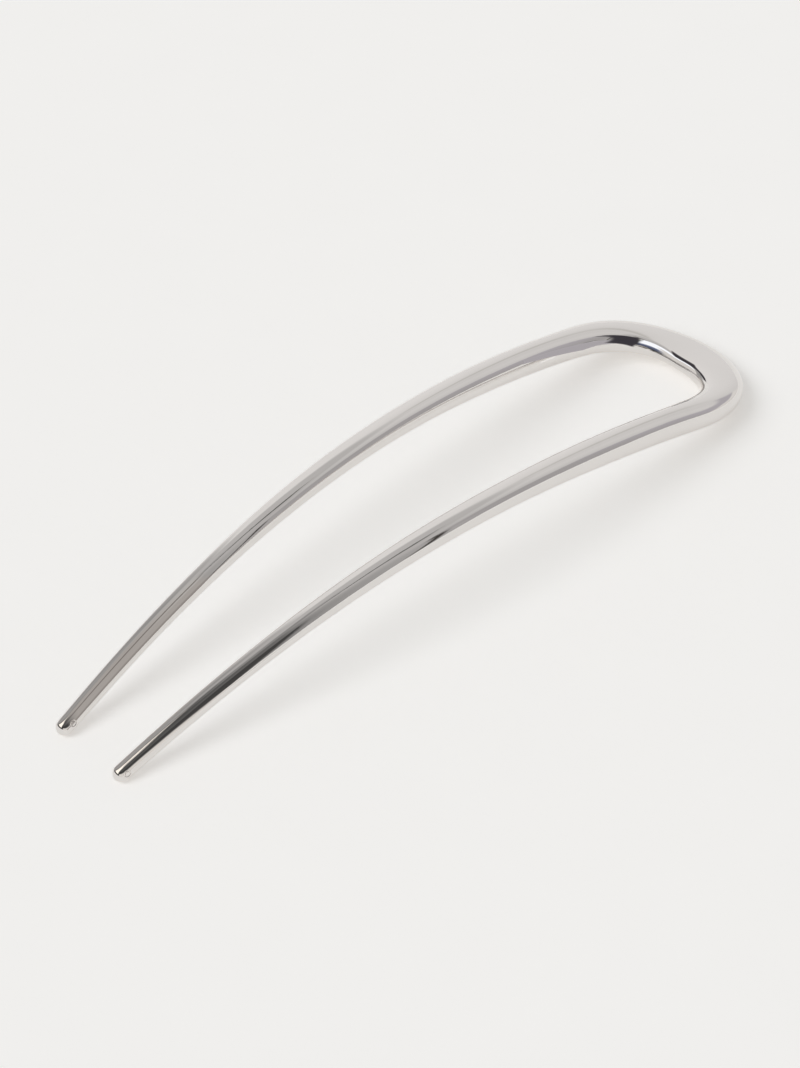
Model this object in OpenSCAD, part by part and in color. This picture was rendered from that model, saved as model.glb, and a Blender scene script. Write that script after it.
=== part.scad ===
// Hair fork cast in one piece: two tapered prongs joined by a broad rounded bridge.
// The prongs point towards -X, the bridge lies at +X, and the whole fork arches up
// towards +Z. It rests on its two rounded ends and on the middle of the bridge.
// Millimetres, with the origin on the surface below the middle of the fork.

/* [Plan] */
// Length of one prong and its half of the bridge along their middle line
half_run = 130.9; // [100:0.1:160]
// Angle at which a prong leaves its rounded end, away from the other prong
end_flare = 5.2; // [3:0.1:8]
// Angle by which the prong bows back towards the other one over its length
prong_bow = 6.7; // [4:0.1:9]
// How late along the prong the bow comes, where 1 is an even bow
bow_lateness = 1.65; // [1:0.05:2.5]
// Share of the run at which the turn into the bridge starts
corner_start = 0.82; // [0.7:0.01:0.88]
// Share of its turning that the corner has lost by the middle of the bridge
corner_slack = 0.75; // [0:0.01:0.9]

/* [Arch] */
// Rise of the arch over the straight line from the prong ends to the bridge
arch_rise = 11.9; // [2:0.1:20]
// Lean of the top of the arch, below 0 towards the prong ends
arch_lean = -0.12; // [-0.3:0.01:0.3]
// Fullness of the arch's shoulders, where 0 is a parabola
arch_fullness = -0.11; // [-0.3:0.01:0.3]

/* [Sections: width, thickness, squareness] */
// Section at the rounded end of a prong
end_section = [2.5, 2.6, 2.0]; // [2:0.1:4]
// Section a fifth of the way up
fifth_section = [3.1, 3.1, 2.05]; // [2:0.05:5]
// Section two fifths of the way up
two_fifths_section = [3.8, 3.6, 2.15]; // [2:0.05:6]
// Section just past the middle of a prong
middle_section = [4.1, 4.0, 2.2]; // [2:0.05:6]
// Section at the upper part of a prong
upper_section = [4.8, 4.8, 2.1]; // [2:0.05:7]
// Section at the shoulder, where a prong starts to turn into the bridge
shoulder_section = [4.4, 5.0, 2.1]; // [2:0.05:8]
// Section in the corner, where the rod starts to flatten
corner_section = [6.7, 4.0, 2.6]; // [2:0.05:10]
// Section at the middle of the bridge, which is broad and flat
bridge_section = [11.3, 2.7, 3.0]; // [2:0.05:14]

/* [Hidden] */

// Columns of a section's row
WIDTH = 0;
THICKNESS = 1;
SQUARENESS = 2;

// The sections in order from a prong's end to the middle of the bridge. The surface
// eases past each of them, as a spline past its control points.
sections = [
    end_section,
    fifth_section,
    two_fifths_section,
    middle_section,
    upper_section,
    shoulder_section,
    corner_section,
    bridge_section
];
last_row = len(sections) - 1;

// Rings of points from a prong's end to the middle of the bridge, and points in a ring
half_rings = 48;
ring_sides = 20;
// Rings of each rounded end, the last of which is a single point
end_rings = 5;
// How much closer the rings are at the bridge than on the prongs
ring_crowding = 0.5;

// A row of the table, which goes on straight before its start and mirrored past its end
function section_row(i) =
    i < 0 ? 2 * sections[0] - sections[1] :
    i > last_row ? sections[2 * last_row - i] :
    sections[i];

// The section at a place along the table, eased by a uniform cubic spline
function section_at(place) =
    let (i = min(floor(place), last_row), f = place - i)
    (pow(1 - f, 3) * section_row(i - 1)
        + (3 * pow(f, 3) - 6 * pow(f, 2) + 4) * section_row(i)
        + (-3 * pow(f, 3) + 3 * pow(f, 2) + 3 * f + 1) * section_row(i + 1)
        + pow(f, 3) * section_row(i + 2)) / 6;

// Share of the run at ring i, where rings may fall between whole numbers
function run_share(i) =
    let (r = i / half_rings)
    r * (1 + ring_crowding * (1 - r));

// Share of the corner's whole turn that is done at a share of the run
function corner_turn(share) =
    let (v = max(0, (share - corner_start) / (1 - corner_start)))
    (pow(v, 2) / 2 - corner_slack * pow(v, 3) / 3) / (1 / 2 - corner_slack / 3);

// Heading of the middle line in plan, which is across the fork at the middle of the bridge
function heading(share) =
    end_flare - prong_bow * pow(share, bow_lateness)
        - (90 + end_flare - prong_bow) * corner_turn(share);

// One step of the middle line in plan, from ring i to the next
function plan_step(i) =
    let (turn = heading(run_share(i + 0.5)))
    half_run * (run_share(i + 1) - run_share(i)) * [cos(turn), sin(turn)];

// The middle line in plan, from the end of one prong to the middle of the bridge
plan_line = [
    for (i = 0, at = [0, 0]; i <= half_rings; at = at + plan_step(i), i = i + 1) at
];
fork_reach = plan_line[half_rings].x;
bridge_side = plan_line[half_rings].y;

// Slope of the arch alone at a distance from the prong ends
function arch_slope(x) =
    let (m = 2 * x / fork_reach - 1)
    2 * arch_rise / fork_reach
        * (-2 * m * (1 + arch_lean * m + arch_fullness * m * m)
            + (1 - m * m) * (arch_lean + 2 * arch_fullness * m));

// How far a tilted section reaches below its middle
function reach_down(section, slope) =
    let (
        tilt = atan(abs(slope)),
        power = section[SQUARENESS] / (section[SQUARENESS] - 1),
        across = section[WIDTH] / 2 * sin(tilt),
        upright = section[THICKNESS] / 2 * cos(tilt)
    )
    pow(pow(across, power) + pow(upright, power), 1 / power);

// Heights of the middle line at the rounded ends and at the bridge, both resting on the surface
end_height = end_section[THICKNESS] / 2;
bridge_guess = reach_down(section_at(last_row), arch_slope(fork_reach));
guess_slope = (bridge_guess - end_height) / fork_reach;
bridge_height = reach_down(section_at(last_row), arch_slope(fork_reach) + guess_slope);
chord_slope = (bridge_height - end_height) / fork_reach;

// Height of the middle line at a distance from the prong ends
function line_height(x) =
    let (m = 2 * x / fork_reach - 1)
    end_height + chord_slope * x
        + arch_rise * (1 - m * m) * (1 + arch_lean * m + arch_fullness * m * m);

// A station of the middle line is its middle, its direction, its section and its side
function station(i) =
    let (
        back = i > half_rings,
        ring = back ? 2 * half_rings - i : i,
        x = plan_line[ring].x,
        y = plan_line[ring].y - bridge_side,
        turn = heading(run_share(ring)),
        slope = arch_slope(x) + chord_slope,
        along = [cos(turn) * (back ? -1 : 1), sin(turn)],
        direction = [along.x, along.y, slope * along.x],
        up = [-slope, 0, 1]
    )
    [
        [x, back ? -y : y, line_height(x)],
        direction / norm(direction),
        up / norm(up),
        section_at(ring * last_row / half_rings)
    ];

// One coordinate of a superellipse: the sine or cosine of an angle, drawn out by the squareness
function squared(value, squareness) = sign(value) * pow(abs(value), 2 / squareness);

// A ring of points round a station, moved along its direction and scaled for a rounded end
function ring_points(s, shift, scale) =
    let (side = cross(s[2], s[1]), section = s[3])
    [
        for (k = [0 : ring_sides - 1])
            let (a = 360 * k / ring_sides)
            s[0] + shift * s[1]
                + side * scale * section[WIDTH] / 2 * squared(cos(a), section[SQUARENESS])
                + s[2] * scale * section[THICKNESS] / 2 * squared(sin(a), section[SQUARENESS])
    ];

first = station(0);
last = station(2 * half_rings);
end_radius = end_section[WIDTH] / 2;

// Rings of the first rounded end, the prongs with the bridge, and the last rounded end
rings = concat(
    [
        for (k = [end_rings - 1 : -1 : 1])
            ring_points(first, -end_radius * sin(90 * k / end_rings), cos(90 * k / end_rings))
    ],
    [for (i = [0 : 2 * half_rings]) ring_points(station(i), 0, 1)],
    [
        for (k = [1 : end_rings - 1])
            ring_points(last, end_radius * sin(90 * k / end_rings), cos(90 * k / end_rings))
    ]
);
ring_count = len(rings);
side_points = [for (ring = rings) for (p = ring) p];
first_tip = first[0] - end_radius * first[1];
last_tip = last[0] + end_radius * last[1];
points = concat(side_points, [first_tip, last_tip]);
first_tip_index = len(side_points);
last_tip_index = first_tip_index + 1;

// The number of a point in the list, from its ring and its place round the ring
function index(ring, k) = ring * ring_sides + (k % ring_sides);

faces = concat(
    [
        for (ring = [0 : ring_count - 2], k = [0 : ring_sides - 1], half = [0, 1])
            half == 0
                ? [index(ring, k), index(ring + 1, k + 1), index(ring, k + 1)]
                : [index(ring, k), index(ring + 1, k), index(ring + 1, k + 1)]
    ],
    [for (k = [0 : ring_sides - 1]) [first_tip_index, index(0, k), index(0, k + 1)]],
    [
        for (k = [0 : ring_sides - 1])
            [last_tip_index, index(ring_count - 1, k + 1), index(ring_count - 1, k)]
    ]
);

// The box round the fork, for its place on the surface
x_values = [for (p = points) p.x];
z_values = [for (p = points) p.z];
to_origin = [-(min(x_values) + max(x_values)) / 2, 0, -min(z_values)];

// The whole fork, one solid
module hairpin() {
    color("silver")
        translate(to_origin)
            polyhedron(points = points, faces = faces, convexity = 6);
}

hairpin();
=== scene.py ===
"""The looks of a polished metal hair fork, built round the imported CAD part."""

import math

import bmesh
import bpy
from mathutils import Matrix, Vector


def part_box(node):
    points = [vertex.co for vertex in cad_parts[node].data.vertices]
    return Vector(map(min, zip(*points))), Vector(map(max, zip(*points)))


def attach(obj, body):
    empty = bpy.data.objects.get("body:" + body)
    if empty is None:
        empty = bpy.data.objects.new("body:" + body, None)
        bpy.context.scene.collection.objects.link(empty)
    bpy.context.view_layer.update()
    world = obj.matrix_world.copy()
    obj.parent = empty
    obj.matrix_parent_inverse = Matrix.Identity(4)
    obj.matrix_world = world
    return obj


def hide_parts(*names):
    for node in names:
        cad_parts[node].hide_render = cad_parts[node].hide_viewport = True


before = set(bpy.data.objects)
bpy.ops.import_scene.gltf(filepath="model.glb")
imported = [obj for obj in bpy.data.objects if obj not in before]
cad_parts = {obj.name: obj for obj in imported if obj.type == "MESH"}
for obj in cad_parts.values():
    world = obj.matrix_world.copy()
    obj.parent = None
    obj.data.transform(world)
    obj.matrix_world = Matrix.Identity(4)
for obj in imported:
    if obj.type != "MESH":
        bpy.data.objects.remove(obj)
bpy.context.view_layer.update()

MM = 0.001

# The fork's plan and arch, with the CAD part's own sizes in millimetres and degrees
HALF_RUN = 130.9
END_FLARE = 5.2
PRONG_BOW = 6.7
BOW_LATENESS = 1.65
CORNER_START = 0.82
CORNER_SLACK = 0.75
ARCH_RISE = 11.9
ARCH_LEAN = -0.12
ARCH_FULLNESS = -0.11

# Width, thickness and squareness of the section, from a prong's end to the bridge
SECTIONS = [
    (2.5, 2.6, 2.0),
    (3.1, 3.1, 2.05),
    (3.8, 3.6, 2.15),
    (4.1, 4.0, 2.2),
    (4.8, 4.8, 2.1),
    (4.4, 5.0, 2.1),
    (6.7, 4.0, 2.6),
    (11.3, 2.7, 3.0),
]

# The cage's rings along one half, the places of the first ones, which are closer together at the
# rounded end, and how much closer together the rings are at the bridge than on the prongs
HALF_RINGS = 18
FIRST_RINGS = (0, 0.16, 0.4, 0.75, 1.25)
RING_CROWDING = 0.5
# Steps in which the plan of the middle line is summed
PLAN_STEPS = 960
# Points in a ring, of which every second one is a corner of a squared section
RING_SIDES = 8
# A ring's corner points are at least this far from both of its axes, in millimetres
CORNER_REACH = 0.1
# Angles round the rounded end at which its rings lie, below its pole at 90
CAP_ANGLES = (66, 36)
# Levels of smoothing, and rounds in which the cage is spread until the smoothed surface has the
# real sizes
SMOOTHING = 4
SPREAD_ROUNDS = 12
# What the pole and the ring round it count for in the pole's smoothed place
POLE_COUNT = 16
POLE_RING_COUNT = 20

# The shallow ring mark near each prong's end, in millimetres and degrees: how far it is from the
# end of the prong at +Y and of its mirror image, its turn round the prong, its ring and groove,
# how deep the ring is sunk, and how far outside the search for the surface starts
MARKS_FROM_END = {1: 1.0, -1: 0.5}
MARK_TURN = 155
MARK_RADIUS = 0.42
MARK_GROOVE = 0.12
MARK_SINK = 0.03
MARK_OUTSIDE = 10

# The photograph's height and the camera's focal length in pixels, and the camera's place in
# millimetres and degrees
PHOTO_HEIGHT = 1068
FOCAL_PIXELS = 3000
CAMERA_HEADING = 46.15
CAMERA_DIP = 41.79
CAMERA_REACH = 449.3
CAMERA_AIM = (-0.95, 3.92)
# The sensor's longer side in millimetres, and the nearest and furthest that is seen, in metres
SENSOR = 36
CAMERA_CLIP = (0.01, 20)

# Share of the light that the polished metal throws back
METAL = (0.79, 0.765, 0.745)
# Edges sharper than this, in degrees, stay crisp
SHARP_ANGLE = 35
# Fineness along X, Y and Z of the hairlines, which run along the fork, and of the smudges, with
# the values of the noise between which each comes in
HAIRLINE_FINENESS = (60, 2600, 2600)
HAIRLINE_DETAIL = 4
HAIRLINE_RANGE = (0.52, 0.75)
SMUDGE_FINENESS = 160
SMUDGE_DETAIL = 3
SMUDGE_RANGE = (0.45, 0.75)
# Roughness of the polish, and what a hairline and a smudge add to it
POLISH_ROUGHNESS = 0.025
HAIRLINE_ROUGHNESS = 0.05
SMUDGE_ROUGHNESS = 0.02
# How much of a smudge shows, and the share of the metal's light that it throws back
SMUDGE_SHARE = 0.5
SMUDGE_SHADE = 0.97
# Strength and height, in metres, of the hairlines' relief
RELIEF_STRENGTH = 0.02
RELIEF_HEIGHT = 0.0002

# The pale floor: its side in metres, its paint and roughness, its tone in the picture, and the
# tone of its own faint glow
FLOOR_SIZE = 8
FLOOR_PAINT = 0.86
FLOOR_ROUGHNESS = 0.9
FLOOR_TONE = (240, 239, 237)
GLOW_TONE = (241, 236, 229)
# The floor's mottling: how fine and detailed it is, and how much lighter and darker it gets
MOTTLE_FINENESS = 90
MOTTLE_DETAIL = 3
MOTTLE_DEPTH = 0.01

# Shares of the floor's light that come evenly from all round and from a faint glow of its own,
# which stands in for the light that the bright walls and the metal throw back into the shadows
SOFT_LIGHT = 0.4
FLOOR_GLOW = 0.36

# The soft key light, from the left: its share of the floor's light, its width and place in
# degrees, and its distance in metres
KEY_SHARE = 0.24
KEY_WIDTH = 36
KEY_TURN = 304
KEY_RISE = 43
KEY_DISTANCE = 0.5


def section_row(i):
    """A row of the sections' table, straight on before its start and mirrored past its end."""
    last = len(SECTIONS) - 1
    if i < 0:
        return [2 * a - b for a, b in zip(SECTIONS[0], SECTIONS[1])]
    return SECTIONS[min(i, 2 * last - i)]


def section_at(place):
    """Width, thickness and squareness at a place along the table, eased by a cubic spline."""
    i = min(int(place), len(SECTIONS) - 1)
    f = place - i
    shares = ((1 - f) ** 3, 3 * f**3 - 6 * f**2 + 4, 1 + 3 * f + 3 * f**2 - 3 * f**3, f**3)
    rows = [section_row(i + k) for k in (-1, 0, 1, 2)]
    return [sum(s * row[column] for s, row in zip(shares, rows)) / 6 for column in range(3)]


def run_share(r):
    """Share of the run at a share r of the rings."""
    return r * (1 + RING_CROWDING * (1 - r))


def heading(share):
    """Heading of the middle line in plan, in radians."""
    v = max(0, (share - CORNER_START) / (1 - CORNER_START))
    corner = (v**2 / 2 - CORNER_SLACK * v**3 / 3) / (1 / 2 - CORNER_SLACK / 3)
    bow = PRONG_BOW * share**BOW_LATENESS
    return math.radians(END_FLARE - bow - (90 + END_FLARE - PRONG_BOW) * corner)


def plan_line(places):
    """The middle line in plan at each of these shares of the rings, summed in short steps."""
    x, y, done = 0.0, 0.0, 0
    found = []
    for place in places:
        while done < round(place * PLAN_STEPS):
            low, high = run_share(done / PLAN_STEPS), run_share((done + 1) / PLAN_STEPS)
            turn = heading((low + high) / 2)
            x += HALF_RUN * (high - low) * math.cos(turn)
            y += HALF_RUN * (high - low) * math.sin(turn)
            done += 1
        found.append((x, y))
    return found


def arch(x, reach, chord):
    """How far the middle line has risen at a distance from the prong ends, and its slope there."""
    m = 2 * x / reach - 1
    full = 1 + ARCH_LEAN * m + ARCH_FULLNESS * m * m
    lift = ARCH_RISE * (1 - m * m) * full
    change = (1 - m * m) * (ARCH_LEAN + 2 * ARCH_FULLNESS * m) - 2 * m * full
    return lift + chord * x, 2 * ARCH_RISE / reach * change + chord


def reach_down(section, slope):
    """How far a tilted section reaches below its middle."""
    width, thickness, squareness = section
    tilt = math.atan(abs(slope))
    power = squareness / (squareness - 1)
    across = width / 2 * math.sin(tilt)
    upright = thickness / 2 * math.cos(tilt)
    return (across**power + upright**power) ** (1 / power)


def half_of_fork():
    """The rings of the half at +Y, from its prong's end to the bridge, and each ring's axes.

    A ring is a row with its middle, half width, half thickness and squareness. Its axes point to
    its side, up and along the middle line.
    """
    places = [i / HALF_RINGS for i in (*FIRST_RINGS, *range(2, HALF_RINGS + 1))]
    line = plan_line(places)
    reach, bridge_side = line[-1]
    end_height = SECTIONS[0][1] / 2
    bridge = section_at(len(SECTIONS) - 1)
    chord = 0.0
    for _ in range(2):
        chord = (reach_down(bridge, arch(reach, reach, chord)[1]) - end_height) / reach
    rows, axes = [], []
    for place, (x, y) in zip(places, line):
        lift, slope = arch(x, reach, chord)
        turn = heading(run_share(place))
        along = Vector((math.cos(turn), math.sin(turn), slope * math.cos(turn))).normalized()
        up = Vector((-slope, 0, 1)).normalized()
        width, thickness, squareness = section_at(place * (len(SECTIONS) - 1))
        rows.append([x, y - bridge_side, end_height + lift, width / 2, thickness / 2, squareness])
        axes.append((up.cross(along), up, along))
    return rows, axes


def with_rounded_end(rows, axes):
    """Adds the rounded end's rings before the first row, with its pole as the very first."""
    first, along = rows[0], axes[0][2]
    radius = first[3]
    caps = []
    for angle in (90, *CAP_ANGLES):
        back = radius * math.sin(math.radians(angle))
        scale = math.cos(math.radians(angle))
        middle = [first[k] - back * along[k] for k in range(3)]
        caps.append([*middle, first[3] * scale, first[4] * scale, first[5]])
    return caps + rows, [axes[0]] * len(caps) + axes


def spread(rows):
    """Moves and widens the rings so that the smoothed surface passes through the given rows.

    Smoothing puts a ring at a sixth of each of its neighbours and four sixths of itself.
    """
    cage = [list(row) for row in rows]
    for _ in range(SPREAD_ROUNDS):
        after = [cage[-2][0], -cage[-2][1], *cage[-2][2:]]
        for i in range(1, len(rows)):
            following = cage[i + 1] if i + 1 < len(rows) else after
            for k, value in enumerate(rows[i]):
                cage[i][k] += value - (cage[i - 1][k] + 4 * cage[i][k] + following[k]) / 6
        whole = POLE_COUNT + POLE_RING_COUNT
        for k in range(3):
            cage[0][k] = (whole * rows[0][k] - POLE_RING_COUNT * cage[1][k]) / POLE_COUNT
    return cage


def corner_push(squareness):
    """How far out a ring's corner points go, and its size, so that the smoothed ring is squared.

    Smoothing puts a point on an axis at (4 + root * push) / 6, and a corner at (4 * push + root) / 6.
    """
    wanted = 2 ** (0.5 - 1 / squareness)
    root = math.sqrt(2)
    push = (4 * wanted - root) / (4 - root * wanted)
    return push, 6 / (4 + root * push)


def draw_ring(row, axes):
    """Draws a round ring of the cage at its place and tilt, a millimetre in radius."""
    bpy.ops.mesh.primitive_circle_add(
        vertices=RING_SIDES,
        radius=MM,
        location=Vector(row[:3]) * MM,
        rotation=Matrix(axes).transposed().to_euler(),
    )


def shape_ring(piece, row, axes):
    """Gives the selected ring its size and moves its corner points out."""
    push, size = corner_push(row[5])
    at = Vector(row[:3]) * MM
    bpy.ops.transform.resize(
        value=(row[3] * size, row[4] * size, 1),
        orient_type="LOCAL",
        orient_matrix=axes,
        orient_matrix_type="LOCAL",
        center_override=at,
    )
    cage = bmesh.from_edit_mesh(piece.data)
    cage.verts.ensure_lookup_table()
    side, up = axes[0], axes[1]
    for point in cage.verts[-RING_SIDES:]:
        offset = point.co - at
        point.select_set(min(abs(offset.dot(side)), abs(offset.dot(up))) > CORNER_REACH * MM)
    cage.select_flush(False)
    bmesh.update_edit_mesh(piece.data)
    bpy.ops.transform.resize(value=(push, push, push), center_override=at)


def choose_points(piece, numbers):
    """Selects these points of the mesh in edit mode, with the edges and faces between them."""
    bpy.ops.mesh.select_all(action="DESELECT")
    cage = bmesh.from_edit_mesh(piece.data)
    cage.verts.ensure_lookup_table()
    for number in numbers:
        cage.verts[number].select_set(True)
    cage.select_flush(True)
    bmesh.update_edit_mesh(piece.data)


def apply_modifier(piece, kind, **settings):
    """Adds a modifier to the piece and applies it."""
    modifier = piece.modifiers.new(kind.title(), kind)
    for name, value in settings.items():
        setattr(modifier, name, value)
    bpy.context.view_layer.objects.active = piece
    bpy.ops.object.modifier_apply(modifier=modifier.name)


def shift_onto_box(piece, low, high):
    """How far the piece has to move for its middle along X, and its lowest point, to match the box."""
    along = [corner[0] for corner in piece.bound_box]
    upright = [corner[2] for corner in piece.bound_box]
    return Vector(((low.x + high.x - min(along) - max(along)) / 2, 0, low.z - min(upright)))


def open_piece(name, row, axes):
    """A new mesh object with the cage's first ring in it, opened in edit mode."""
    bpy.ops.object.select_all(action="DESELECT")
    draw_ring(row, axes)
    piece = bpy.context.object
    piece.name = name
    piece.data.name = name
    bpy.ops.object.transform_apply(location=True, rotation=True, scale=True)
    bpy.ops.object.mode_set(mode="EDIT")
    bpy.ops.mesh.select_all(action="SELECT")
    return piece


def polished_fork():
    """The whole fork: a cage of rings along one half, bridged, closed, mirrored and smoothed.

    It comes with the shift that put it onto the CAD part's box.
    """
    rows, axes = with_rounded_end(*half_of_fork())
    pole, *cage = spread(rows)
    axes = axes[1:]
    piece = open_piece("polished_fork", cage[0], axes[0])
    shape_ring(piece, cage[0], axes[0])
    for row, ring_axes in zip(cage[1:], axes[1:]):
        draw_ring(row, ring_axes)
        shape_ring(piece, row, ring_axes)
    for ring in range(len(cage) - 1):
        start = ring * RING_SIDES
        choose_points(piece, range(start, start + 2 * RING_SIDES))
        bpy.ops.mesh.bridge_edge_loops()
    choose_points(piece, range(RING_SIDES))
    bpy.ops.mesh.fill_grid(span=2)
    mesh = bmesh.from_edit_mesh(piece.data)
    mesh.verts.ensure_lookup_table()
    middle = len(mesh.verts) - 1
    shift = Vector(pole[:3]) * MM - mesh.verts[middle].co
    choose_points(piece, [middle])
    bpy.ops.transform.translate(value=shift)
    bpy.ops.object.mode_set(mode="OBJECT")
    apply_modifier(piece, "MIRROR", use_axis=(False, True, False))
    apply_modifier(piece, "SUBSURF", levels=SMOOTHING, render_levels=SMOOTHING)
    bpy.ops.object.mode_set(mode="EDIT")
    bpy.ops.mesh.select_all(action="SELECT")
    bpy.ops.mesh.normals_make_consistent(inside=False)
    shift = shift_onto_box(piece, *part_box("hairpin"))
    bpy.ops.transform.translate(value=shift)
    bpy.ops.object.mode_set(mode="OBJECT")
    return piece, shift


def cut_ring_mark(piece, at, facing):
    """Cuts a shallow ring into the surface at a place, with a cutter that is then thrown away."""
    bpy.ops.object.select_all(action="DESELECT")
    bpy.ops.mesh.primitive_torus_add(
        location=at - facing * MARK_SINK * MM,
        rotation=facing.to_track_quat("Z", "Y").to_euler(),
        major_segments=40,
        minor_segments=12,
        major_radius=MARK_RADIUS * MM,
        minor_radius=MARK_GROOVE * MM,
    )
    cutter = bpy.context.object
    apply_modifier(piece, "BOOLEAN", operation="DIFFERENCE", object=cutter, solver="EXACT")
    bpy.data.objects.remove(cutter)


def mark_both_ends(piece, shift):
    """Cuts the ring mark into each prong near its end, on the side that faces -Y."""
    rows, axes = half_of_fork()
    first, (_, up, along) = rows[0], axes[0]
    tilt = math.radians(MARK_TURN)
    for hand, from_end in MARKS_FROM_END.items():
        line = Vector((along.x, along.y * hand, along.z))
        facing = up.cross(line) * math.cos(tilt) + up * math.sin(tilt)
        middle = Vector((first[0], first[1] * hand, first[2])) + line * from_end
        outside = (middle + facing * MARK_OUTSIDE) * MM + shift
        found, at, normal, _ = piece.ray_cast(outside, -facing)
        if not found:
            raise RuntimeError("the ring mark has no surface under it")
        cut_ring_mark(piece, at, normal)


class Wire:
    """One value in a node tree. Python's operators on it add Math nodes."""

    def __init__(self, board, socket):
        self.board = board
        self.socket = socket

    def maths(self, operation, *values):
        """The outcome of a Math node."""
        return self.board.add("ShaderNodeMath", {"operation": operation}, values)

    def __add__(self, other):
        return self.maths("ADD", self, other)

    def __sub__(self, other):
        return self.maths("SUBTRACT", self, other)

    def __rsub__(self, other):
        return self.maths("SUBTRACT", other, self)

    def __mul__(self, other):
        return self.maths("MULTIPLY", self, other)

    def __truediv__(self, other):
        return self.maths("DIVIDE", self, other)

    def __abs__(self):
        return self.maths("ABSOLUTE", self)

    __radd__ = __add__
    __rmul__ = __mul__


class Board:
    """A node tree, on which one method adds every kind of node."""

    def __init__(self, owner):
        owner.use_nodes = True
        self.tree = owner.node_tree
        self.tree.nodes.clear()

    def add(self, kind, settings=(), inputs=(), output=0):
        """Adds a node with its settings first, then the values or wires of its sockets."""
        node = self.tree.nodes.new(kind)
        settings = dict(settings)
        stops = settings.pop("stops", None)
        for name, value in settings.items():
            setattr(node, name, value)
        if stops:
            ramp = node.color_ramp
            while len(ramp.elements) < len(stops):
                ramp.elements.new(1)
            for stop, (place, colour) in zip(ramp.elements, stops):
                stop.position = place
                stop.color = colour
        pairs = inputs.items() if isinstance(inputs, dict) else enumerate(inputs)
        for name, value in pairs:
            if isinstance(value, Wire):
                self.tree.links.new(value.socket, node.inputs[name])
            else:
                node.inputs[name].default_value = value
        return Wire(self, node.outputs[output]) if len(node.outputs) else node

    def smooth(self, value, low, high):
        """0 where the value is below low, 1 above high, and eased between them."""
        return self.add(
            "ShaderNodeMapRange", {"interpolation_type": "SMOOTHSTEP"}, [value, low, high, 0.0, 1.0]
        )

    def band(self, value, low, high, soft):
        """1 between low and high, with soft edges."""
        above = self.smooth(value, low - soft, low + soft)
        below = 1 - self.smooth(value, high - soft, high + soft)
        return above * below

    def mix(self, share, first, second):
        """Goes from the first colour to the second as the share goes from 0 to 1.

        A Mix node's colours are its inputs 6 and 7 and its output 2, and its factor is input 0.
        """
        colours = {6: opaque(first), 7: opaque(second), 0: share}
        return self.add("ShaderNodeMix", {"data_type": "RGBA"}, colours, 2)


def opaque(colour):
    """A colour as a node's socket takes it."""
    return colour if isinstance(colour, Wire) else (*colour, 1.0)


def linear(tone):
    """The light behind a tone from 0 to 255, by the display's standard curve."""
    value = tone / 255
    return value / 12.92 if value < 0.04045 else ((value + 0.055) / 1.055) ** 2.4


def seen(*tones):
    """The light that the polished metal shows as this colour, from tones of 0 to 255."""
    return tuple(linear(tone) / share for tone, share in zip(tones, METAL))


def tinted(tone):
    """A tone as the studio's greys show on the metal, a little warm."""
    return seen(*(tone * share for share in WARMTH))


# The studio round the fork: the tone that each heading shows, level with the fork and overhead.
# Headings are degrees to the right of the camera's own direction, seen from the fork.
LEVEL_RING = [
    (0, 58),
    (48, 66),
    (50.5, 133),
    (54, 145),
    (64, 158),
    (76, 175),
    (92, 188),
    (104, 196),
    (120, 202),
    (136, 198),
    (150, 200),
    (162, 208),
    (182, 215),
    (206, 214),
    (212, 168),
    (220, 142),
    (228, 150),
    (240, 150),
    (252, 112),
    (264, 66),
    (360, 58),
]
OVERHEAD_RING = [
    (0, 80),
    (20, 88),
    (44, 107),
    (54, 144),
    (74, 172),
    (130, 177),
    (205, 177),
    (218, 170),
    (231, 165),
    (243, 142),
    (252, 118),
    (260, 82),
    (320, 70),
    (360, 80),
]
# Shares of a grey tone's red, green and blue
WARMTH = (1, 0.98, 0.965)
# Rises between which the level tones give way to the overhead ones, and those to the ceiling's
OVERHEAD_RISES = (48, 58)
CEILING_RISES = (76, 86)
CEILING_TONE = 133
# Colours of the parts of the studio that stand out
LAVENDER = (167, 162, 165)
GREY_WALL = (157, 153, 152)
WARM_WALL = (208, 203, 198)
FAINT_LINE = (184, 180, 175)
LAMP = (262, 252, 240)
DARK_LINE = (58, 53, 50)
# Where these parts lie: from and to which heading or rise, and how soft their edges are
EDGE_TURNS = (98, 114, 3)
EDGE_RISES = (63, 82, 2)
EDGE_SHARE = 0.9
LINE_TURNS = (148, 155, 3)
WALL_TURNS = (70, 145, 3)
UPRIGHT_TURNS = (63.1, 65.3, 0.8)
UPRIGHT_RISES = (0, 37, 3)
UPRIGHT_LEAN = 0.2
LAMP_TURNS = (259, 325, 3)
LAMP_RISES = (28, 73, 4)
# Rises between which the faint line comes in and goes out
LINE_START = (18, 30)
LINE_STOP = (46, 52)
# The wall's warm foot gets higher by this slope from this heading on, up to this rise
WALL_SLOPE = 0.4
FOOT_FROM = 92
FOOT_RISE = 8
# The wall's top gets lower by the same slope from its rise at this heading, with one step, down
# to this rise
TOP_RISE = 36
TOP_FROM = 78
TOP_STEP = 5
TOP_STEP_TURNS = (96, 103)
TOP_LEAST = 19.5
# How soft the edges of the foot and of the top are, and where the wall turns from grey to lavender
FOOT_SOFTNESS = (-1, 1.5)
TOP_SOFTNESS = (-2.5, 2.5)
LAVENDER_TURNS = (84, 104)

# The lamp sheet that leans over the loop, in millimetres and degrees, with its colours upwards
LOOP_LAMP_MIDDLE = (54.5, 22.5, 71.5)
LOOP_LAMP_TILT = 71
LOOP_LAMP_SIZE = (126, 75)
LOOP_LAMP = [
    (0, (80, 86, 106)),
    (0.1, (92, 98, 120)),
    (0.13, (186, 188, 200)),
    (0.15, (250, 251, 255)),
]
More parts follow.
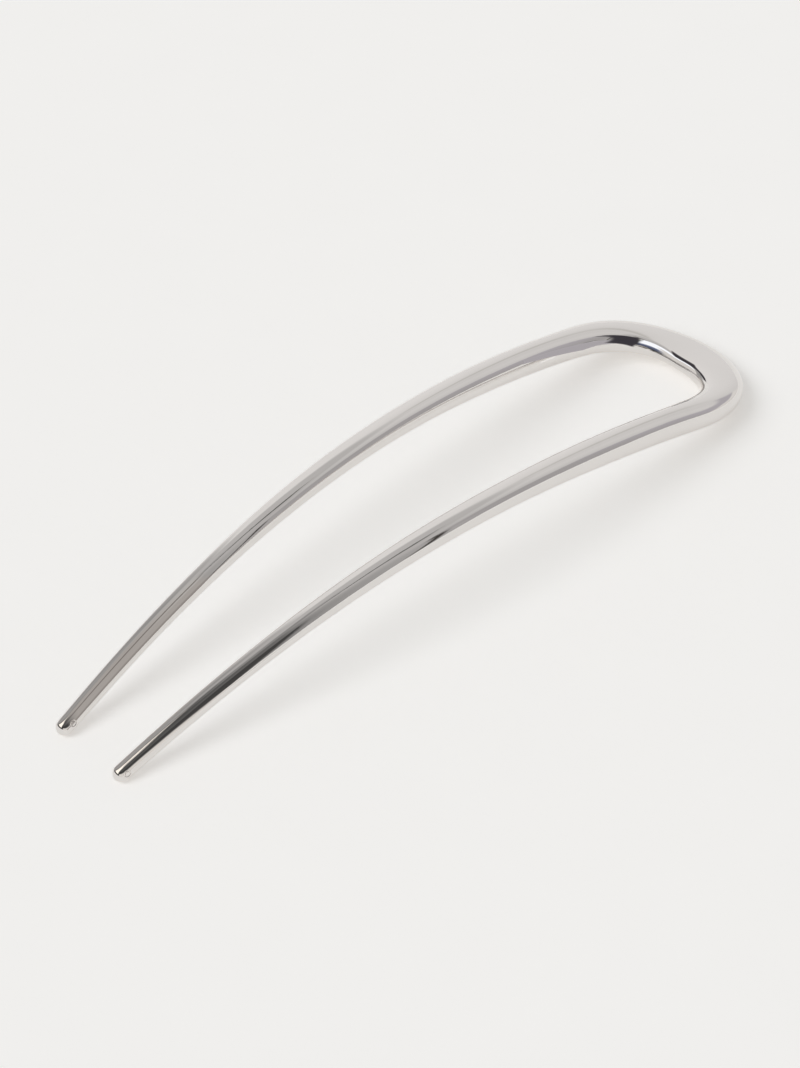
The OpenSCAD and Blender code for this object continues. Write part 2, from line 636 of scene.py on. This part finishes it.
# The lamp's grey corner, as shares of its width from its middle and of its height from its foot
LAMP_CORNER_SIDE = (0.11, 0.22)
LAMP_CORNER_TOP = (0.26, 0.32)
# The pale sheet that stands beside the near prong's end, sloping down towards the loop
LOW_SHEET_MIDDLE = (-77.5, -36.5, -10.7)
LOW_SHEET_TILT = 25
LOW_SHEET_SIZE = (120, 60)
LOW_SHEET_TONE = (212, 206, 200)
# The small sheets that the loop's inner face shows, in millimetres: name, middle, along, across, size
# and tone. They glow only in the metal's reflections: the two dark ones paint shade into the loop's
# reflections, the lavender one is a painted reflection of the wall low in the gap, and the white one
# is a painted glint.
SMALL_SHEETS = [
    # dark sheets in the loop: painted shade in its reflections
    ("loop_shade", (53.3, 6, 7.4), (0.86, 0, -0.51), (-0.51, 0, -0.86), (2.3, 7.2), (58, 55, 60)),
    ("loop_edge_shade", (56.9, 0.35, 6.75), (0.6, 0, -0.8), (0, -1, 0), (2.4, 4.5), (58, 55, 58)),
    # a lavender sheet that paints the wall's reflection lower in the gap, and a white one that paints
    # a glint
    ("gap_wall_reflection", (44.55, 5, 8.35), (0.81, 0, -0.59), (-0.59, 0, -0.81), (15.4, 5.2), (167, 162, 165)),
    ("gap_glint", (41.9, 5, 5.4), (1, 0, 0), (0, 0, -1), (3.4, 0.6), (250, 246, 244)),
]
# How wide the soft border is, in millimetres, of the small sheets, of the large ones, and at the
# ends of the bent one
SMALL_SOFTNESS = 0.5
LARGE_SOFTNESS = 9
FILL_SOFTNESS = 3
# The grey sheet bent round the far prong's end, in millimetres and degrees: the ring that it is
# placed by, how far up the prong from there its middle is, its length and radius, the angles
# round the prong that it covers, and its colours
FILL_RING = 4
FILL_SHIFT = 2.4
FILL_LENGTH = 32.6
FILL_RADIUS = 7
FILL_ANGLES = (-4, 112)
FILL_GREY = (163, 157, 152)
FILL_PALE = (178, 174, 170)
FILL_LINE = (116, 108, 103)
# Where on the bent sheet its pale part comes in, up the prong and round it, where its dark line
# runs, and how much of the dark line's colour its foot has, up to which angle
FILL_PALE_RUN = (-2, 14)
FILL_PALE_ANGLES = (50, 66)
FILL_LINE_ANGLES = (72, 82, 3)
FILL_FOOT_ANGLES = (4, 22)
FILL_FOOT_SHARE = 0.5


def ring_of_tones(board, turn, ring):
    """The tones of a ring of headings, joined up evenly."""
    stops = [(bearing / 360, (*tinted(tone), 1)) for bearing, tone in ring]
    return board.add("ShaderNodeValToRGB", {"stops": stops}, [turn / 360])


def with_right_wall(board, colour, turn, rise):
    """Adds the wall to the right, warm below, grey and then lavender above."""
    low = (turn - FOOT_FROM) * WALL_SLOPE
    low = low.maths("MINIMUM", low.maths("MAXIMUM", low, 0.0), FOOT_RISE)
    high = TOP_RISE - (turn - TOP_FROM) * WALL_SLOPE - board.smooth(turn, *TOP_STEP_TURNS) * TOP_STEP
    high = high.maths("MAXIMUM", high, TOP_LEAST)
    wall = board.band(turn, *WALL_TURNS)
    above_low = board.smooth(rise - low, *FOOT_SOFTNESS)
    below_high = board.smooth(high - rise, *TOP_SOFTNESS)
    paint = board.mix(board.smooth(turn, *LAVENDER_TURNS), seen(*GREY_WALL), seen(*LAVENDER))
    colour = board.mix(wall * above_low * below_high, colour, paint)
    colour = board.mix(wall * (1 - above_low), colour, seen(*WARM_WALL))
    # a dark upright edge at its near end
    upright = board.band(turn - rise * UPRIGHT_LEAN, *UPRIGHT_TURNS) * board.band(rise, *UPRIGHT_RISES)
    return board.mix(upright, colour, seen(*DARK_LINE))


def studio(board):
    """The light that the polished metal sees in each direction above the floor."""
    direction = board.add("ShaderNodeTexCoord", output="Generated")
    split = board.add("ShaderNodeSeparateXYZ", (), [direction]).socket.node
    x, y, z = (Wire(board, socket) for socket in split.outputs)
    sin, cos = math.sin(math.radians(CAMERA_HEADING)), math.cos(math.radians(CAMERA_HEADING))
    right = x * sin - y * cos
    back = x * -cos - y * sin
    swing = right.maths("ARCTAN2", right, back) * math.degrees(1)
    turn = swing + 360 * swing.maths("LESS_THAN", swing, 0.0)
    rise = z.maths("ARCSINE", z) * math.degrees(1)
    colour = board.mix(
        board.smooth(rise, *OVERHEAD_RISES),
        ring_of_tones(board, turn, LEVEL_RING),
        ring_of_tones(board, turn, OVERHEAD_RING),
    )
    colour = board.mix(board.smooth(rise, *CEILING_RISES), colour, tinted(CEILING_TONE))
    # a thin dark edge overhead on the right
    edge = board.band(turn, *EDGE_TURNS) * board.band(rise, *EDGE_RISES)
    colour = board.mix(edge * EDGE_SHARE, colour, seen(*DARK_LINE))
    # a faint upright line behind on the right
    upright = board.smooth(rise, *LINE_START) * (1 - board.smooth(rise, *LINE_STOP))
    colour = board.mix(board.band(turn, *LINE_TURNS) * upright, colour, seen(*FAINT_LINE))
    colour = with_right_wall(board, colour, turn, rise)
    # a lamp on the left
    lamp = board.band(turn, *LAMP_TURNS) * board.band(rise, *LAMP_RISES)
    return board.mix(lamp, colour, seen(*LAMP))


def light_the_studio():
    """The world: the studio in the metal's reflections, and plain pale light everywhere else.

    The camera itself sees a backdrop of the floor's tone. The soft key light is not reflected.
    """
    world = bpy.data.worlds.new("pale_studio")
    bpy.context.scene.world = world
    board = Board(world)
    pictured = board.add("ShaderNodeLightPath", output="Is Camera Ray")
    mirrored = board.add("ShaderNodeLightPath", output="Is Glossy Ray")
    # the floor's light without its own glow
    rest = [
        (linear(whole) - FLOOR_GLOW * linear(own)) / (1 - FLOOR_GLOW)
        for whole, own in zip(FLOOR_TONE, GLOW_TONE)
    ]
    backdrop = tuple(SOFT_LIGHT / FLOOR_PAINT * share for share in rest)
    colour = board.mix(mirrored, backdrop, studio(board))
    colour = board.mix(pictured, colour, tuple(linear(tone) for tone in FLOOR_TONE))
    light = board.add("ShaderNodeBackground", (), {"Color": colour, "Strength": 1.0})
    board.add("ShaderNodeOutputWorld", (), [light])
    key = bpy.data.lights.new("key", "SUN")
    floor_share = FLOOR_PAINT * math.sin(math.radians(KEY_RISE)) / math.pi
    key.energy = KEY_SHARE * max(rest) / floor_share
    key.color = [share / max(rest) for share in rest]
    key.angle = math.radians(KEY_WIDTH)
    lamp = bpy.data.objects.new("key", key)
    bpy.context.scene.collection.objects.link(lamp)
    rise, turn = math.radians(KEY_RISE), math.radians(CAMERA_HEADING + 180 + KEY_TURN)
    level = math.cos(rise)
    towards = Vector((math.cos(turn) * level, math.sin(turn) * level, math.sin(rise)))
    lamp.rotation_euler = towards.to_track_quat("Z", "Y").to_euler()
    lamp.location = towards * KEY_DISTANCE
    lamp.visible_glossy = False


def place_on(board):
    """A place along the object's own three axes, in millimetres before the object is scaled.

    On a flat sheet, a millimetre wide before it is scaled, these are shares of its sides.
    """
    place = board.add("ShaderNodeTexCoord", output="Object")
    split = board.add("ShaderNodeSeparateXYZ", (), [place]).socket.node
    return [Wire(board, socket) / MM for socket in split.outputs]


def light_sheet(sheet, colour_over, share_over):
    """Makes a studio sheet glow on its front, where only the metal's reflections see it."""
    material = bpy.data.materials.new(sheet.name)
    board = Board(material)
    front = 1 - board.add("ShaderNodeNewGeometry", output="Backfacing")
    glow = board.add("ShaderNodeEmission", (), {"Color": colour_over(board), "Strength": 1.0})
    nothing = board.add("ShaderNodeBsdfTransparent")
    shader = board.add("ShaderNodeMixShader", (), [front * share_over(board), nothing, glow])
    board.add("ShaderNodeOutputMaterial", (), [shader])
    sheet.data.materials.append(material)
    sheet.visible_camera = False
    sheet.visible_diffuse = False
    sheet.visible_shadow = False
    sheet.visible_transmission = False


def hang_sheet(name, middle, along, across, size, softness, colour_over):
    """A flat studio sheet with a soft border, whose front is towards along x across.

    The border lies half inside the sheet's size and half outside it.
    """
    size = [side + softness for side in size]

    def share_over(board):
        half = 0.5
        share = 1
        for place, side in zip(place_on(board), size):
            share = share * (1 - board.smooth(abs(place), half - softness / side, half))
        return share

    bpy.ops.object.select_all(action="DESELECT")
    axes = Matrix((along, across, along.cross(across)))
    bpy.ops.mesh.primitive_plane_add(
        size=MM, location=middle * MM, rotation=axes.transposed().to_euler()
    )
    sheet = bpy.context.object
    sheet.name = name
    sheet.scale = (*size, 1)
    light_sheet(sheet, colour_over, share_over)


def loop_lamp_colour(board):
    """Blue at the lamp's lower edge and white above it, with a plain grey corner on its far side."""
    along, across, _ = place_on(board)
    # share of the lamp's height, from its foot
    up = along + 0.5
    far = 1 - board.smooth(across, *LAMP_CORNER_SIDE)
    stops = [(share, (*seen(*colour), 1)) for share, colour in LOOP_LAMP]
    colour = board.add("ShaderNodeValToRGB", {"stops": stops}, [up])
    return board.mix(far * (1 - board.smooth(up, *LAMP_CORNER_TOP)), colour, seen(*WARM_WALL))


def fill_colour(board):
    """Grey round the prong, with one dark line near the top and a darker foot."""
    side, up, run = place_on(board)
    angle = up.maths("ARCTAN2", up, side * -1) * math.degrees(1)
    pale = board.smooth(run, *FILL_PALE_RUN) * board.smooth(angle, *FILL_PALE_ANGLES)
    colour = board.mix(pale, seen(*FILL_GREY), seen(*FILL_PALE))
    foot = FILL_FOOT_SHARE - FILL_FOOT_SHARE * board.smooth(angle, *FILL_FOOT_ANGLES)
    dark = board.band(angle, *FILL_LINE_ANGLES) + foot
    return board.mix(dark, colour, seen(*FILL_LINE))


def fill_share(board):
    """The grey sheet's soft ends."""
    run = abs(place_on(board)[2])
    return 1 - board.smooth(run, FILL_LENGTH / 2 - FILL_SOFTNESS, FILL_LENGTH / 2)


def bend_fill_sheet(shift):
    """The grey sheet bent over the far prong's end, on its near side and above it."""
    rows, axes = half_of_fork()
    along = axes[FILL_RING][2]
    middle = Vector(rows[FILL_RING][:3]) + along * FILL_SHIFT
    bpy.ops.object.select_all(action="DESELECT")
    bpy.ops.mesh.primitive_cylinder_add(
        vertices=48,
        radius=FILL_RADIUS * MM,
        depth=FILL_LENGTH * MM,
        end_fill_type="NOTHING",
        location=middle * MM + shift,
        rotation=along.to_track_quat("Z", "Y").to_euler(),
    )
    sheet = bpy.context.object
    sheet.name = "fill_sheet"
    bpy.ops.object.mode_set(mode="EDIT")
    bpy.ops.mesh.select_all(action="DESELECT")
    shell = bmesh.from_edit_mesh(sheet.data)
    for face in shell.faces:
        place = face.calc_center_median()
        angle = math.degrees(math.atan2(place.y, -place.x))
        face.select_set(not FILL_ANGLES[0] < angle < FILL_ANGLES[1])
    bmesh.update_edit_mesh(sheet.data)
    bpy.ops.mesh.delete(type="FACE")
    bpy.ops.mesh.select_all(action="SELECT")
    bpy.ops.mesh.flip_normals()
    bpy.ops.object.mode_set(mode="OBJECT")
    light_sheet(sheet, fill_colour, fill_share)


def hang_sheets(shift):
    """The studio's sheets close to the fork: over the loop, in the gap, and by each prong's end."""
    tilt = math.radians(LOOP_LAMP_TILT)
    hang_sheet(
        "loop_lamp",
        Vector(LOOP_LAMP_MIDDLE),
        Vector((math.cos(tilt), 0, math.sin(tilt))),
        Vector((0, -1, 0)),
        LOOP_LAMP_SIZE,
        LARGE_SOFTNESS,
        loop_lamp_colour,
    )
    tilt = math.radians(LOW_SHEET_TILT)
    hang_sheet(
        "low_sheet",
        Vector(LOW_SHEET_MIDDLE),
        Vector((math.cos(tilt), 0, -math.sin(tilt))),
        Vector((-math.sin(tilt), 0, -math.cos(tilt))),
        LOW_SHEET_SIZE,
        LARGE_SOFTNESS,
        lambda board: opaque(seen(*LOW_SHEET_TONE)),
    )
    for name, middle, along, across, size, tone in SMALL_SHEETS:
        hang_sheet(
            name,
            Vector(middle),
            Vector(along).normalized(),
            Vector(across).normalized(),
            size,
            SMALL_SOFTNESS,
            lambda board, tone=tone: opaque(seen(*tone)),
        )
    bend_fill_sheet(shift)


def paint_floor(floor):
    """Plain pale paper with the faintest mottling, and a faint glow of its own: painted light that
    stands in for the light thrown back into the shadows.
    """
    material = bpy.data.materials.new("pale_floor")
    board = Board(material)
    place = board.add("ShaderNodeTexCoord", output="Object")
    grain = {"Vector": place, "Scale": MOTTLE_FINENESS, "Detail": MOTTLE_DETAIL}
    mottle = board.add("ShaderNodeTexNoise", (), grain)
    darker, lighter = FLOOR_PAINT * (1 - MOTTLE_DEPTH), FLOOR_PAINT * (1 + MOTTLE_DEPTH)
    colour = board.mix(mottle, [darker] * 3, [lighter] * 3)
    # the floor's glow: painted light that lifts and warms its shadows
    glow = tuple(linear(tone) for tone in GLOW_TONE)
    shader = board.add(
        "ShaderNodeBsdfPrincipled",
        (),
        {
            "Base Color": colour,
            "Roughness": FLOOR_ROUGHNESS,
            "Specular IOR Level": 0.0,
            "Emission Color": opaque(glow),
            "Emission Strength": FLOOR_GLOW,
        },
    )
    board.add("ShaderNodeOutputMaterial", (), [shader])
    floor.data.materials.append(material)


def lay_floor():
    """The pale floor that the fork lies on."""
    bpy.ops.object.select_all(action="DESELECT")
    bpy.ops.mesh.primitive_plane_add(size=FLOOR_SIZE)
    floor = bpy.context.object
    floor.name = "floor"
    paint_floor(floor)


def polish_metal(piece):
    """Mirror-bright plating with faint hairlines along the prongs and soft smudges."""
    material = bpy.data.materials.new("polished_metal")
    board = Board(material)
    place = board.add("ShaderNodeTexCoord", output="Object")
    stretch = board.add("ShaderNodeMapping", (), {"Vector": place, "Scale": HAIRLINE_FINENESS})
    grain = {"Vector": stretch, "Scale": 1.0, "Detail": HAIRLINE_DETAIL}
    hairlines = board.add("ShaderNodeTexNoise", (), grain)
    grain = {"Vector": place, "Scale": SMUDGE_FINENESS, "Detail": SMUDGE_DETAIL}
    smudges = board.add("ShaderNodeTexNoise", (), grain)
    fine = board.smooth(hairlines, *HAIRLINE_RANGE)
    worn = board.smooth(smudges, *SMUDGE_RANGE)
    roughness = POLISH_ROUGHNESS + fine * HAIRLINE_ROUGHNESS + worn * SMUDGE_ROUGHNESS
    relief = {"Strength": RELIEF_STRENGTH, "Distance": RELIEF_HEIGHT, "Height": hairlines}
    bump = board.add("ShaderNodeBump", (), relief)
    colour = board.mix(worn * SMUDGE_SHARE, METAL, tuple(SMUDGE_SHADE * share for share in METAL))
    shader = board.add(
        "ShaderNodeBsdfPrincipled",
        (),
        {"Base Color": colour, "Metallic": 1.0, "Roughness": roughness, "Normal": bump},
    )
    board.add("ShaderNodeOutputMaterial", (), [shader])
    piece.data.materials.clear()
    piece.data.materials.append(material)


def place_camera():
    """The camera at the photograph's viewing angle."""
    camera = bpy.data.cameras.new("camera")
    camera.sensor_width = SENSOR
    camera.lens = SENSOR * FOCAL_PIXELS / PHOTO_HEIGHT
    camera.clip_start, camera.clip_end = CAMERA_CLIP
    dip, turn = math.radians(CAMERA_DIP), math.radians(CAMERA_HEADING)
    look = Vector((math.cos(dip) * math.cos(turn), math.cos(dip) * math.sin(turn), -math.sin(dip)))
    holder = bpy.data.objects.new("camera", camera)
    holder.location = (Vector((*CAMERA_AIM, 0)) - look * CAMERA_REACH) * MM
    holder.rotation_euler = look.to_track_quat("-Z", "Y").to_euler()
    bpy.context.scene.collection.objects.link(holder)
    bpy.context.scene.camera = holder


place_camera()
light_the_studio()
lay_floor()
fork, fork_shift = polished_fork()
mark_both_ends(fork, fork_shift)
hang_sheets(fork_shift)
polish_metal(fork)
bpy.ops.object.select_all(action="DESELECT")
fork.select_set(True)
bpy.context.view_layer.objects.active = fork
bpy.ops.object.shade_smooth_by_angle(angle=math.radians(SHARP_ANGLE))
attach(fork, "root")
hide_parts("hairpin")
bpy.context.scene.view_settings.view_transform = "Standard"
